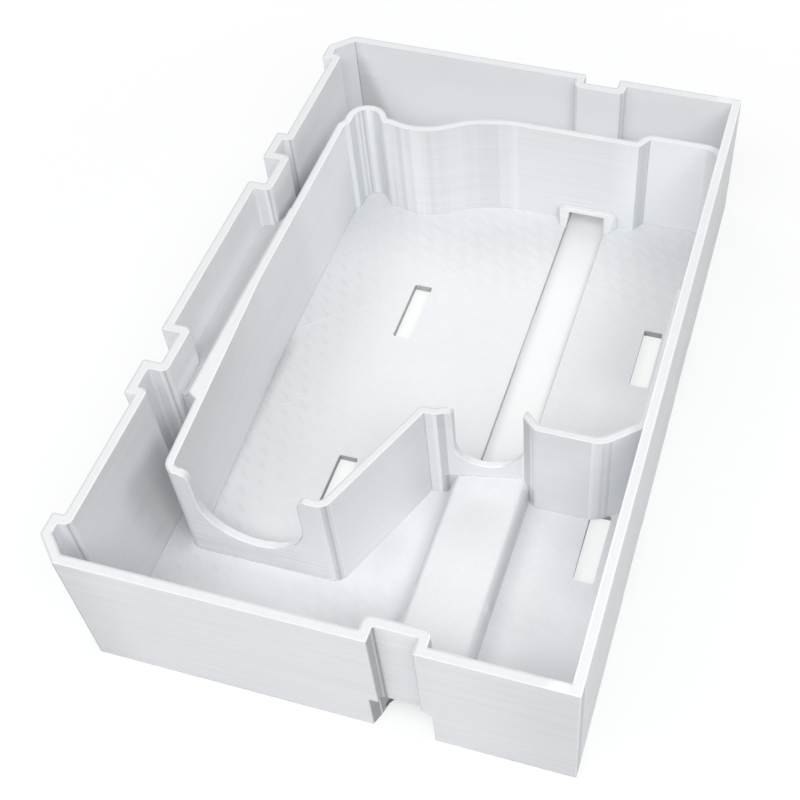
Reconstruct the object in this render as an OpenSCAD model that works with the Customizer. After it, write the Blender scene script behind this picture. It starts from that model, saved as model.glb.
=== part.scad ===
// Drawer organizer tray, moulded or printed in one piece.
// A rectangular tray with a low inner pocket, a raised strip over a channel that runs
// the full length under the floor, and recesses in the left wall for a drawer frame.
// Millimetres. X runs across, Y runs from front to back, Z is up. Origin: bottom centre.

/* [Overall size] */
// Outside length, front to back
tray_length = 314; // [300:1:360]
// Outside width, left to right
tray_width = 203.6; // [200:0.1:240]
// Height of the outer rim above the underside
tray_height = 68.2; // [64:0.1:90]

/* [Walls and floor] */
// Thickness of the outer wall
wall = 4; // [3:0.1:4.6]
// Thickness of the floor
floor_thick = 4; // [3:0.1:5]
// Thickness of the pocket wall
pocket_wall = 3.4; // [2.6:0.1:4]
// Drop from the outer rim to the pocket rim
pocket_drop = 10.2; // [6:0.1:14]
// Radius on inner faces where the outer wall steps inward
step_round = 3; // [1:0.1:3.6]
// Radius in the inner corners of the compartments
corner_round = 0.8; // [0.4:0.1:1.6]
// Radius outside, in the roots of the recesses
root_round = 0.9; // [0.4:0.1:1.4]

/* [Left wall recesses] */
// Leg of the chamfer on both left corners
corner_chamfer = 9.8; // [6:0.1:12]
// Length of the flat land between the chamfer and the long recess
end_land = 9.7; // [8:0.1:14]
// Length of the long recess near each end
long_recess_length = 57.9; // [46:0.1:60]
// Depth of the long recess
long_recess_depth = 4.75; // [2:0.05:6]
// Length of the land between the long and the short recess
middle_land = 17.4; // [14:0.1:20]
// Length of the short recess
short_recess_length = 16.5; // [12:0.1:20]
// Depth of the short recess
short_recess_depth = 7.9; // [4:0.1:9]
// Height above the floor at which the hollow foot of the long recess walls begins
foot_height = 36; // [10:0.5:44]
// Distance that the hollow foot stands out from the wall at the floor
foot_reach = 6.5; // [1:0.1:9]

/* [End notches] */
// Distance from the left side to the middle of the notches
notch_x = 136.7; // [134:0.1:139]
// Width of the notch in the front and back wall
notch_width = 16.6; // [12:0.1:18]
// Depth of the notch
notch_depth = 6.4; // [4:0.1:8]

/* [Channel and raised strip] */
// Distance from the left side to the middle of the channel
channel_x = 139; // [137:0.1:141]
// Width of the channel at the underside
channel_width = 20; // [16:0.1:22]
// Narrowing of the channel from the underside to its ceiling
channel_taper = 2.6; // [0:0.1:5]
// Height of the channel ceiling above the underside
channel_height = 11.5; // [9:0.1:13]
// Thickness of the roof over the channel
strip_roof = 4; // [3:0.1:5]
// Thickness of the strip beside the channel at the underside
strip_side = 6; // [4:0.1:7]
// Radius of the upper edges of the strip
strip_round = 4; // [1:0.1:5]

/* [Channel mouths] */
// Height of the mouth in the end walls
mouth_height = 21.4; // [18:0.1:26]
// Extra width of the mouth on the left, beyond the channel
mouth_flare = 4.7; // [1:0.1:5]
// Depth from the end face at which the flare has died out
mouth_depth = 12; // [9:0.1:16]
// Rise of the mouth ceiling above its height at the right side of the notch
mouth_rise = 3; // [1:0.1:5]

/* [Pocket] */
// Inner face of the pocket from the left side
pocket_left = 22.9; // [21.5:0.1:27]
// Inward lean of the pocket's left wall at its front end
pocket_taper = 5.4; // [0:0.1:8]
// Inner face of the pocket's front left part from the front
pocket_front = 56; // [40:0.5:64]
// Inner face of the pocket's front right part from the front
pocket_front_right = 112.1; // [106:0.1:116]
// Inner face of the pocket's back from the back of the tray
pocket_back = 33; // [28:0.5:40]
// Offset of the back wall where it steps toward the back on the right
back_step = 6.5; // [3:0.1:9]
// Inset of the pocket's thick right side from the outer wall
right_inset = 2.3; // [1:0.1:3]
// Right end of the front left part, measured from the left
nose_x = 89.5; // [86:0.1:93]
// Right end of the slanted part, measured from the left
shoulder_x = 111.3; // [108:0.1:114]
// Small radius of the pocket's corners
pocket_round = 2.5; // [1:0.1:4]
// Radius of the small lobe at the back left, inside
lobe_round = 6.4; // [5:0.1:7]
// Depth of the shallow recess in the wall that crosses the strip
web_recess = 0.4; // [0.2:0.1:1]

/* [Finger dips] */
// Left side of the large dip in the pocket's front wall
large_dip_left = 35.7; // [33:0.1:37]
// Radius of the large dip
large_dip_round = 22.2; // [18:0.1:23]
// Height of the lowest point of the large dip
large_dip_bottom = 17.5; // [10:0.1:24]
// Radius where the large dip meets the rim
dip_rim_round = 4.5; // [1:0.1:5.5]
// Radius of the small dip over the strip
small_dip_round = 14; // [10:0.1:14.4]
// Height of the lowest point of the small dip
small_dip_bottom = 22.3; // [19.5:0.1:28]
// Radius where the small dip meets the rim on its left
small_rim_round = 2; // [0.5:0.1:3]

/* [Side shelf] */
// Radius of the hollow in the shelf between pocket and outer wall
shelf_round = 19.7; // [17:0.1:22]
// Height of the shelf above the underside where it meets the outer wall
shelf_low = 44.8; // [40:0.1:46]
// Front end of the shelf from the front, at the outer wall
shelf_front = 95.4; // [93:0.1:104]

/* [Hood over the channel end] */
// Distance that the hood stands out from the pocket's back wall
hood_reach = 6.6; // [4:0.1:10]
// Roof thickness of the hood over the channel
hood_roof = 2; // [1.4:0.1:3]
// Lean of the hood's front face
hood_lean = 4.4; // [0:0.1:5]
// Inset of the hood's front corners from its ends at the wall
hood_inset = 3.5; // [1:0.1:5]

/* [Floor slots] */
// Width of the floor slots
slot_width = 8.6; // [5:0.1:10]
// Length of the floor slots
slot_length = 34; // [20:0.5:40]
// Radius of the slots' corners
slot_round = 1.2; // [0.4:0.1:2]
// Middle of the left slots from the left side
slot_left_x = 73.2; // [60:0.1:90]
// Middle of the right slots from the right side
slot_right_x = 17.1; // [12:0.1:30]
// Front end of the first slots from the front
slot_front = 78.8; // [70:0.1:80]
// Distance from the first slots to the second slots
slot_pitch = 105; // [90:0.5:110]
// Depth of the cross grooves under the floor
groove_depth = 2; // [0.6:0.1:2.4]

/* [Hidden] */
arc_gap = 0.03;
over = 1;
pocket_rim = tray_height - pocket_drop;
inner_right = tray_width - wall;
middle_y = tray_length / 2;
back_face = tray_length - pocket_back;
channel_left = channel_x - channel_width / 2;
channel_right = channel_x + channel_width / 2;
strip_top = channel_height + strip_roof;
strip_half = channel_width / 2 + strip_side;
tray_grey = [0.86, 0.88, 0.9];

// Outline helpers. A corner is [x, y, radius]; outlines run counter-clockwise.
function unit(v) = v / norm(v);
function flat(c) = [c[0], c[1]];
function turn(a, b) = atan2(a.x * b.y - a.y * b.x, a.x * b.x + a.y * b.y);
function heading(c, i) =
    let(n = len(c))
    unit(flat(c[(i + 1) % n]) - flat(c[i % n]));
function outward(d) = [d.y, -d.x];

// Points of an arc around a centre
function arc_steps(r, a) = max(1, ceil(abs(a) / (2 * acos(1 - arc_gap / max(r, 0.1)))));
function arc(c, r, from, sweep) =
    let(n = arc_steps(r, sweep))
    [for (k = [0:n]) c + r * [cos(from + sweep * k / n), sin(from + sweep * k / n)]];

// One corner moved outward by t, its radius following the move
function moved_corner(p, d1, d2, t) =
    let(n1 = outward(d1), n2 = outward(d2))
    flat(p) + t * (n1 + n2) / (1 + n1 * n2);
function corner_points(p, d1, d2, t) =
    let(
        n1 = outward(d1),
        n2 = outward(d2),
        a = turn(d1, d2),
        s = a < 0 ? -1 : 1,
        v = moved_corner(p, d1, d2, t),
        r = p[2] + s * t,
        c = v - s * unit(n1 + n2) * r / cos(a / 2)
    )
    r < 0.1 ? [v] : [for (q = arc(c, r, atan2(s * n1.y, s * n1.x), a)) q];
function spaced(p) =
    let(n = len(p))
    [for (i = [0:n - 1]) if (norm(p[i] - p[(i + n - 1) % n]) > 0.05) p[i]];
function outline(c, t) =
    let(n = len(c))
    spaced([for (i = [0:n - 1])
        each corner_points(c[i], heading(c, i + n - 1), heading(c, i), t)]);

// The same outline moved by t, with one radius for outer and one for inner corners
function shifted(c, t, outer_r, inner_r) =
    let(n = len(c))
    [for (i = [0:n - 1])
        let(
            d1 = heading(c, i + n - 1),
            d2 = heading(c, i),
            v = moved_corner(c[i], d1, d2, t),
            a = turn(d1, d2)
        )
        [v.x, v.y, a < 0 ? inner_r : abs(a) < 60 ? 0 : outer_r]];

// Left wall from the middle toward one end: distance from the middle, depth
short_near = middle_y - corner_chamfer - end_land - long_recess_length - middle_land
    - short_recess_length;
short_far = short_near + short_recess_length;
long_near = short_far + middle_land;
long_far = long_near + long_recess_length;
left_steps = [
    [short_near, 0],
    [short_near, short_recess_depth],
    [short_far, short_recess_depth],
    [short_far, 0],
    [long_near, 0],
    [long_near, long_recess_depth],
    [long_far, long_recess_depth],
    [long_far, 0]
];
left_back = [for (i = [7:-1:0]) [left_steps[i][1], middle_y + left_steps[i][0]]];
left_front = [for (i = [0:7]) [left_steps[i][1], middle_y - left_steps[i][0]]];

notch_left = notch_x - notch_width / 2;
notch_right = notch_x + notch_width / 2;
tray_corners = concat(
    [
        [corner_chamfer, 0],
        [notch_left, 0],
        [notch_left, notch_depth],
        [notch_right, notch_depth],
        [notch_right, 0],
        [tray_width, 0],
        [tray_width, tray_length],
        [notch_right, tray_length],
        [notch_right, tray_length - notch_depth],
        [notch_left, tray_length - notch_depth],
        [notch_left, tray_length],
        [corner_chamfer, tray_length],
        [0, tray_length - corner_chamfer]
    ],
    left_back,
    left_front,
    [[0, corner_chamfer]]
);
outer_points = outline(shifted(tray_corners, 0, 0, root_round), 0);
inner_points = outline(shifted(tray_corners, -wall, corner_round, step_round), 0);

// Pocket: inner face of its wall, from the front left corner round to the left side
pocket_right = inner_right - right_inset;
pocket_tuck = tray_width - pocket_wall - 0.2;
web_back = pocket_front_right + 5.2;
lobe = [pocket_left + 2 + lobe_round, back_face - 13.2];
lobe_from = 32;
lobe_part = (180 - lobe_from) / 6;
lobe_reach = lobe_round / cos(lobe_part);
pocket_corners = [
    [pocket_left + pocket_taper, pocket_front, pocket_round],
    [nose_x, pocket_front, pocket_round],
    [shoulder_x, pocket_front_right - 3.1, pocket_round],
    [channel_x - 21.6, pocket_front_right - 2.9, pocket_round],
    [channel_x - 18.6, pocket_front_right - 1.4, pocket_round],
    [channel_x + 14.4, web_back, 1.2],
    [channel_x + 19.9, pocket_front_right, pocket_round],
    [inner_right - 15.4, pocket_front_right, 8],
    [pocket_right, pocket_front_right + 12, 5],
    [pocket_right, middle_y + 40, pocket_round],
    [pocket_tuck, middle_y + 40 + pocket_tuck - pocket_right, 0],
    [pocket_tuck, back_face + back_step, 8],
    [channel_x + 27.1, back_face + back_step, pocket_round],
    [channel_x + 23.4, back_face, pocket_round],
    [channel_x - 40.5, back_face, 40],
    [channel_x - 57.7, back_face - 4.2, 30],
    [channel_x - 79.5, back_face - 18.1, 31],
    [lobe.x + 11.7, lobe.y - 0.75, 0.5],
    [lobe.x + 8, lobe.y - 0.75, 2],
    each [for (k = [1:2:5])
        let(a = lobe_from + k * lobe_part)
        [lobe.x + lobe_reach * cos(a), lobe.y + lobe_reach * sin(a), lobe_round]],
    [lobe.x - lobe_round, lobe.y - 5.5, 1],
    [pocket_left, lobe.y - 7.8, 1],
    [pocket_left, middle_y, 60]
];

// Hollow foot of the wall at the long recesses, in X and Z: an arc that starts upright
foot_round = (pow(foot_height, 2) + pow(foot_reach, 2)) / (2 * foot_reach);
foot_sweep = asin(foot_height / foot_round);
foot_face = long_recess_depth + wall;
foot_points = concat(
    [[foot_face - wall / 2, floor_thick + foot_height], [foot_face - wall / 2, floor_thick - over]],
    [[foot_face + foot_reach, floor_thick - over]],
    arc([foot_face + foot_round, floor_thick + foot_height], foot_round, 180 + foot_sweep,
        -foot_sweep)
);

module slab(points, z0, z1) {
    translate([0, 0, z0])
        linear_extrude(z1 - z0)
            polygon(points);
}

// Shape drawn in X and Z, running along Y from y0 to y1
module along_y(points, y0, y1) {
    translate([0, y1, 0])
        rotate([90, 0, 0])
            linear_extrude(y1 - y0)
                polygon(points);
}

// Shape drawn in Y and Z, running along X from x0 to x1
module along_x(points, x0, x1) {
    translate([x0, 0, 0])
        rotate([90, 0, 90])
            linear_extrude(x1 - x0)
                polygon(points);
}

module tray_shell() {
    difference() {
        slab(outer_points, 0, tray_height);
        slab(inner_points, floor_thick, tray_height + over);
    }
}

// Foot of both long recess walls, ending where the wall steps back
module hollow_feet() {
    for (side = [-1, 1]) {
        near = middle_y + side * (long_near - wall / 2);
        far = middle_y + side * (long_far + wall / 2);
        along_y(foot_points, min(near, far), max(near, far));
    }
}

module pocket_ring() {
    difference() {
        slab(outline(pocket_corners, pocket_wall), floor_thick - over, pocket_rim);
        slab(outline(pocket_corners, 0), floor_thick - 2 * over, pocket_rim + over);
    }
}

// Raised strip over the channel, left out inside the pocket
strip_points = concat(
    [[channel_x - strip_half, floor_thick - over], [channel_x + strip_half, floor_thick - over]],
    arc([channel_x + strip_half - strip_round, strip_top - strip_round], strip_round, 0, 90),
    arc([channel_x - strip_half + strip_round, strip_top - strip_round], strip_round, 90, 90)
);
module raised_strip() {
    difference() {
        along_y(strip_points, notch_depth + wall / 2, tray_length - notch_depth - wall / 2);
        slab(outline(pocket_corners, pocket_wall / 2), -over, pocket_rim);
    }
}

// Short end of the strip that stands out from the pocket's back wall
hood_top = channel_height + hood_roof;
hood_round = 5;
hood_points = concat(
    [[channel_x - strip_half, floor_thick - over], [channel_x + strip_half, floor_thick - over]],
    arc([channel_x + strip_half - hood_round, hood_top - hood_round], hood_round, 0, 90),
    arc([channel_x - strip_half + hood_round, hood_top - hood_round], hood_round, 90, 90)
);
hood_front = back_face - hood_reach;
hood_half = strip_half - hood_inset;
hood_plan = outline([
    [channel_x - hood_half, hood_front, 1.5],
    [channel_x + hood_half, hood_front, 1.5],
    [channel_x + strip_half, back_face + pocket_wall / 2, 0],
    [channel_x - strip_half, back_face + pocket_wall / 2, 0]
], 0);
module hood() {
    intersection() {
        along_y(hood_points, hood_front - over, back_face + pocket_wall / 2);
        slab(hood_plan, floor_thick - over, hood_top + over);
        along_x([
            [hood_front, 0],
            [back_face + pocket_wall, 0],
            [back_face + pocket_wall, hood_top + over],
            [hood_front + hood_lean, hood_top + over],
            [hood_front, floor_thick]
        ], 0, tray_width);
    }
}

// Shelf between the left wall and the pocket, hollow on top
shelf_back = middle_y + short_near - wall / 2;
shelf_line = pocket_left - pocket_wall / 2;
shelf_lean = pocket_taper * (middle_y - shelf_front + 8) / (middle_y - pocket_front);
module side_shelf() {
    difference() {
        slab([
            [wall / 2, middle_y - short_near + wall / 2],
            [short_recess_depth + wall / 2, middle_y - short_near + wall / 2],
            [short_recess_depth + wall / 2, shelf_front + 1.4],
            [shelf_line + shelf_lean, shelf_front - 8],
            [shelf_line, middle_y],
            [shelf_line, shelf_back],
            [wall / 2, shelf_back]
        ], floor_thick - over, pocket_rim);
        translate([wall - 3.7, 0, shelf_low + sqrt(pow(shelf_round, 2) - pow(3.7, 2))])
            rotate([-90, 0, 0])
                cylinder(r = shelf_round, h = tray_length, $fn = 96);
    }
}

// Channel under the floor, open below, through the whole length
module channel_cut() {
    along_y([
        [channel_left, -over],
        [channel_right, -over],
        [channel_right - channel_taper / 2, channel_height],
        [channel_left + channel_taper / 2, channel_height]
    ], -over, tray_length + over);
}

// Flared mouth of the channel in the front wall
mouth_left = channel_left - mouth_flare;
module mouth_cut() {
    intersection() {
        along_y([
            [mouth_left, -over],
            [channel_right, -over],
            [channel_right, mouth_height],
            [notch_right, mouth_height + mouth_rise],
            [notch_left, mouth_height],
            [mouth_left, mouth_height]
        ], -over, mouth_depth);
        along_x([
            [-over, -over],
            [mouth_depth, -over],
            [mouth_depth, channel_height],
            [notch_depth, channel_height + 1],
            [0, mouth_height + mouth_rise],
            [-over, mouth_height + mouth_rise + over]
        ], 0, tray_width);
        slab([
            [mouth_left, -over],
            [channel_right, -over],
            [channel_right, mouth_depth],
            [channel_left, mouth_depth],
            [mouth_left + mouth_flare * 0.66, mouth_depth * 0.8],
            [mouth_left + mouth_flare * 0.4, mouth_depth * 0.4],
            [mouth_left, 0]
        ], -over, tray_height);
    }
}

// Dip in the front left part of the pocket wall
pocket_front_face = pocket_front - pocket_wall;
large_dip_x = large_dip_left + large_dip_round;
large_dip_right = large_dip_left + 2 * large_dip_round;
module large_dip() {
    along_y(concat(
        arc([large_dip_left - dip_rim_round, pocket_rim - dip_rim_round], dip_rim_round, 90, -90),
        arc([large_dip_x, large_dip_bottom + large_dip_round], large_dip_round, 180, 180),
        arc([large_dip_right + dip_rim_round, pocket_rim - dip_rim_round], dip_rim_round, 180, -90),
        [
            [large_dip_right + dip_rim_round, pocket_rim + over],
            [large_dip_left - dip_rim_round, pocket_rim + over]
        ]
    ), pocket_front_face - over, pocket_front + over);
}

// Dip in the part of the pocket wall that crosses the strip
small_dip_x = channel_x - 0.7;
small_dip_left = small_dip_x - small_dip_round - small_rim_round;
module small_dip() {
    along_y(concat(
        arc([small_dip_left, pocket_rim - small_rim_round], small_rim_round, 90, -90),
        arc([small_dip_x, small_dip_bottom + small_dip_round], small_dip_round, 180, 180),
        [
            [small_dip_x + small_dip_round, pocket_rim + over],
            [small_dip_left, pocket_rim + over]
        ]
    ), pocket_front_right - 9, web_back + 4);
}

// Shallow recess in the front face of the wall that crosses the strip
web_start = [channel_x - 18.6, pocket_front_right - 1.4];
web_along = unit([channel_x + 14.4, web_back] - web_start);
web_out = outward(web_along);
web_left = channel_x - 13.1;
web_right = channel_x + 11.7;
function web_point(x, t) =
    web_start + web_along * (x - web_start.x) / web_along.x + web_out * t;
module web_recess_cut() {
    slab([
        web_point(web_left, pocket_wall + over),
        web_point(web_right, pocket_wall + over),
        web_point(web_right, pocket_wall - web_recess),
        web_point(web_left, pocket_wall - web_recess)
    ], strip_top, pocket_rim + over);
}

// Through slots in the floor with a shallow cross groove below each row
slot_points = outline([
    [0, 0, slot_round],
    [slot_width, 0, slot_round],
    [slot_width, slot_length, slot_round],
    [0, slot_length, slot_round]
], 0);
module floor_slots() {
    for (y = [slot_front, slot_front + slot_pitch]) {
        for (x = [slot_left_x, tray_width - slot_right_x]) {
            translate([x - slot_width / 2, y, 0])
                slab(slot_points, -over, floor_thick);
        }
        translate([slot_left_x - slot_width / 2, y, -over])
            cube([tray_width, slot_length, groove_depth + over]);
    }
}

module organizer_tray() {
    color(tray_grey)
        translate([-tray_width / 2, -tray_length / 2, 0])
            difference() {
                union() {
                    tray_shell();
                    hollow_feet();
                    pocket_ring();
                    raised_strip();
                    hood();
                    side_shelf();
                }
                channel_cut();
                mouth_cut();
                translate([0, tray_length, 0])
                    mirror([0, 1, 0])
                        mouth_cut();
                large_dip();
                small_dip();
                web_recess_cut();
                floor_slots();
            }
}

organizer_tray();
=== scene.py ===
# %% [markdown]
# # A drawer organizer tray, dressed for its picture
#
# The tray is one piece of pale grey printed plastic. The solid comes packed from CAD, so every
# wall already stands where it should. This script gives the piece its finish: softened edges,
# the fine lines that the printing head leaves, and the few marks of a real print. It ends with
# a camera and soft light.

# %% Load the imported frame
import math

import bmesh
import bpy
from mathutils import Euler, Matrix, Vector


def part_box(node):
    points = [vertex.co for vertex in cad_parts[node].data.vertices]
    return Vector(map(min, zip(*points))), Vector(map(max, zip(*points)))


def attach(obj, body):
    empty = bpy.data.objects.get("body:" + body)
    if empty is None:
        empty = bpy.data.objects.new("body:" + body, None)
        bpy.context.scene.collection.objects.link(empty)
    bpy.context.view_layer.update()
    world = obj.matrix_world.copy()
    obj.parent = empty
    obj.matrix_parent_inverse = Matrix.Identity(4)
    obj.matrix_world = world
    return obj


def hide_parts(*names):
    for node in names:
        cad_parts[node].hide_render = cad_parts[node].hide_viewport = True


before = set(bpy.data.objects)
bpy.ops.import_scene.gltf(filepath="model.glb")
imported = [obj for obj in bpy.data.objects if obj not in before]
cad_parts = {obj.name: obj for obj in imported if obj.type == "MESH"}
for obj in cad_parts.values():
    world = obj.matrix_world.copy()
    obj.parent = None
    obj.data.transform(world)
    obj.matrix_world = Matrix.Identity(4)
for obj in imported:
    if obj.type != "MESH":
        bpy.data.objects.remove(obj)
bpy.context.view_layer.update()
tray_low, tray_high = [Vector(c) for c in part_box("organizer_tray")]
print("CAD box", [round(v, 4) for v in tray_low], [round(v, 4) for v in tray_high])

# %% [markdown]
# ## The camera
#
# The photograph is a crop of a wider picture: lines that are parallel on the tray meet at points
# that are not centred on the frame. A camera can copy that in two ways, by turning or by
# shifting its lens. Turning would bend the proportions, so the lens is shifted, by as much as
# the crop needs and no more.

# %% Camera at the photograph's viewing angle
PHOTO_SIDE = 800            # pixels, the picture is square
SENSOR = 36.0               # millimetres
FOCAL_PIXELS = 1294.32
CENTRE_PIXELS = (506.44, 400.5)
CAMERA_PLACE = (0.13514, -0.33919, 0.46315)     # metres
CAMERA_TURN = (37.9876, 0.9675, 15.9304)        # degrees about x, y and z
NEAREST_SEEN = 0.01         # metres

camera_data = bpy.data.cameras.new("camera")
camera_data.sensor_width = SENSOR
camera_data.lens = SENSOR * FOCAL_PIXELS / PHOTO_SIDE
camera_data.shift_x = (PHOTO_SIDE / 2 - CENTRE_PIXELS[0]) / PHOTO_SIDE
camera_data.shift_y = (CENTRE_PIXELS[1] - PHOTO_SIDE / 2) / PHOTO_SIDE
camera_data.clip_start = NEAREST_SEEN
camera = bpy.data.objects.new("camera", camera_data)
camera.location = CAMERA_PLACE
camera.rotation_euler = Euler([math.radians(a) for a in CAMERA_TURN])
bpy.context.collection.objects.link(camera)
bpy.context.scene.camera = camera
print("lens", round(camera_data.lens, 2), "shift", round(camera_data.shift_x, 4))

# %% [markdown]
# ## Shader maths as Python
#
# A material is a net of small nodes. Wiring each by hand hides what it works out, so a small
# class wraps one socket and lets Python's own signs add the Math nodes. Three of its methods
# make the soft masks that lay out every finish below: one rises along an axis, one falls, and
# one is strongest near a middle.

# %% A socket that can be reckoned with
class Wire:
    def __init__(self, tree, socket):
        self.tree, self.socket = tree, socket

    def node(self, kind, settings=None, inputs=None, output=0):
        made = self.tree.nodes.new(kind)
        for key, value in (settings or {}).items():
            setattr(made, key, value)
        for key, value in (inputs or {}).items():
            if isinstance(value, Wire):
                self.tree.links.new(value.socket, made.inputs[key])
            else:
                made.inputs[key].default_value = value
        return Wire(self.tree, made.outputs[output] if made.outputs else None)

    def math(self, operation, *values):
        return self.node("ShaderNodeMath", {"operation": operation}, dict(enumerate(values)))

    def __add__(self, other): return self.math("ADD", self, other)
    def __radd__(self, other): return self.math("ADD", other, self)
    def __sub__(self, other): return self.math("SUBTRACT", self, other)
    def __rsub__(self, other): return self.math("SUBTRACT", other, self)
    def __mul__(self, other): return self.math("MULTIPLY", self, other)
    def __rmul__(self, other): return self.math("MULTIPLY", other, self)
    def __neg__(self): return self.math("MULTIPLY", self, -1.0)

    def size(self):
        """The value without its sign."""
        return self.math("ABSOLUTE", self)

    def sine(self, wavelength):
        return self.math("SINE", self * (2 * math.pi / wavelength))

    def rises(self, start, end):
        """0 below start, 1 above end, and smooth between."""
        return self.node("ShaderNodeMapRange", {"interpolation_type": "SMOOTHSTEP"},
                         {"Value": self, "From Min": start, "From Max": end})

    def falls(self, start, end):
        """1 below start, 0 above end, and smooth between."""
        return 1.0 - self.rises(start, end)

    def near(self, middle, half):
        """1 on the middle and 0 from half away."""
        return (self - middle).size().falls(0.0, half)

    def parts(self):
        """The three numbers of a vector."""
        made = self.node("ShaderNodeSeparateXYZ", inputs={0: self})
        return [Wire(self.tree, socket) for socket in made.socket.node.outputs]


def first_wire(block):
    """Empty the node tree of a material or a world, and give a wire to build from."""
    block.use_nodes = True
    block.node_tree.nodes.clear()
    return Wire(block.node_tree, None)


print("masks", Wire.rises.__name__, Wire.falls.__name__, Wire.near.__name__)

# %% [markdown]
# ## Printed plastic
#
# The print head leaves several kinds of mark. On a wall the layers show as thin level streaks,
# crossed by faint upright ripples where the head shook. On a face that looks up the last layer
# shows as parallel strokes at 45 degrees, and the lattice inside the floor shows through as
# pale and dark spots. A picture could be wrapped round the tray, but it would blur on a closer
# look and would need seams. All of it is shallow, so it is worked out in the material instead,
# as bump and as a slight change of tone.
#
# Each mark depends on where a point lies and on the way its face looks. One class reads both
# once, and names the kinds of face and the axes that the masks run along.

# %% What the plastic knows of a point
PLASTIC = (0.828, 0.844, 0.861)
FLOOR_TOP = 0.004           # metres
FLOOR_HALF = 0.0006         # metres above and below, still counted as the floor
STRIP_X = 0.0372            # metres, middle of the raised strip
INNER_X = (0.098, 0.099)    # metres from the middle, where the side walls start
INNER_Y = (0.149, 0.150)    # metres, the same for the front and back walls
RIM_Z = (0.050, 0.056)      # metres, where the lowest rim starts
SLANT = 0.3                 # how far the back corner's shade moves sideways with height
# parts of a face's normal: a face counts fully past the second number, and not before the first
LEVEL, SLOPE, FLAT = (0.6, 0.9), (0.5, 0.8), (0.9, 0.98)            # upward
FACING, SQUARELY, ASKEW = (0.5, 0.9), (0.8, 0.95), (0.2, 0.5)       # to the front or the right
LEANING = (0.80, 0.97)      # upward, where a face stops counting as a leaning one
FADES = {"from": Wire.rises, "to": Wire.falls, "near": Wire.near}


class Surface:
    def __init__(self, start):
        self.start = start
        self.spot = start.node("ShaderNodeTexCoord", output="Object")
        normal = start.node("ShaderNodeNewGeometry", output="True Normal")
        x, y, z = self.spot.parts()
        nx, ny, up = normal.parts()
        self.x, self.y, self.z, self.nx, self.ny = x, y, z, nx, ny
        self.toward = nx.math("ARCTAN2", nx, -ny)
        self.axes = {"x": x, "y": y, "z": z, "degrees": self.toward * (180 / math.pi),
                     "off_strip": (x - STRIP_X).size(), "slant": x + z * SLANT}
        level = up.size().rises(*LEVEL)
        wall = 1.0 - level
        inside = x.size().falls(*INNER_X) * y.size().falls(*INNER_Y)
        floor = z.near(FLOOR_TOP, FLOOR_HALF) * level
        right = nx.rises(*FACING)
        self.kinds = {
            "any": 1.0, "inside": inside, "outside": 1.0 - inside,
            "level": level, "inner_level": level * inside, "slope": up.rises(*SLOPE) * inside,
            "shoulder": up.size().falls(*LEANING) * inside,
            "floor": floor, "inner_floor": floor * inside, "rim": z.rises(*RIM_Z) * up.rises(*FLAT),
            "wall": wall, "inner_wall": wall * inside, "outer_wall": wall * (1.0 - inside),
            "right": right, "right_wall": right * wall, "front": (-ny).rises(*FACING),
            "square_front": (-ny).rises(*SQUARELY), "askew_front": (-ny).rises(*ASKEW) * wall}

    def mask(self, kind, fades):
        """1 on faces of this kind within these fades, 0 elsewhere, and soft between."""
        made = self.kinds[kind]
        for key, limits in fades.items():
            axis, fade = key.split()
            made = made * FADES[fade](self.axes[axis], *limits)
        return made

    def places(self, rows):
        """The rows' amounts, each on its own place, added up."""
        return sum(self.mask(kind, fades) * amount for _, kind, amount, fades in rows)

    def noise(self, scale, detail=2.0, stretch=(1.0, 1.0, 1.0)):
        moved = self.start.node("ShaderNodeMapping", {"vector_type": "POINT"},
                                {"Vector": self.spot, "Scale": stretch})
        return self.start.node("ShaderNodeTexNoise", {"noise_dimensions": "3D"},
                               {"Vector": moved, "Scale": scale, "Detail": detail,
                                "Roughness": 0.5}) - 0.5

    def attribute(self, name):
        return self.start.node("ShaderNodeAttribute", {"attribute_name": name}, output="Fac")


def weighed(marks, shares):
    """The marks added up, each by its share."""
    return sum(marks[name] * share for name, share in shares.items())


print("plastic", PLASTIC, "kinds of fade", list(FADES))

# %% [markdown]
# ## Strokes of the last layer
#
# On the floor, the shelf and the rims the head laid its last strokes side by side at 45 degrees.
# Real grooves would take millions of faces. A sine wave across the strokes gives their bump,
# and noise that is drawn out along them gives each run of strokes a tone of its own. A fainter
# run crosses them, and some strokes stand out.

# %% Marks on faces that look up
STROKE = 0.00042            # metres, width of one printed stroke
WEAVE = 0.0012              # metres, between the strokes that stand out on level faces
DIAGONAL = 1.414            # x + y grows this much for each metre across the strokes
STROKE_WAVER, WEAVE_WAVER = 0.6, 3.0        # how far the strokes stray, in their own widths
STROKE_DRIFT, WEAVE_DRIFT = 60.0, 25.0      # per metre, the noise that leads them astray
WEAVE_PATCHES, WEAVE_SHOWS = 90.0, (-0.25, 0.25)    # noise per metre, and where it lets them show
RUNS = (900.0, 1.0, 0.10)   # noise per metre, then how fast it changes across and along
CROSSING = (800.0, 0.12, 1.0)
HATCH_RISE = 0.2            # the same upward, so that two heights differ
LOW_Z = (0.02, 0.03)        # metres, below here the weave is fainter
FAINTER, FAINTER_STILL = 0.6, 0.3   # by this share, and by more toward the back
BACKWARD_Y = (-0.06, -0.04)         # metres, from here on


def hatch(s, scale, across, along):
    """Noise drawn out at 45 degrees, in the direction with the smaller of the last two."""
    turned = s.start.node("ShaderNodeCombineXYZ", inputs={
        0: (s.x + s.y) * across, 1: (s.x - s.y) * along, 2: s.z * HATCH_RISE})
    return s.start.node("ShaderNodeTexNoise", {"noise_dimensions": "3D"},
                        {"Vector": turned, "Scale": scale, "Detail": 2.0}) - 0.5


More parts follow.
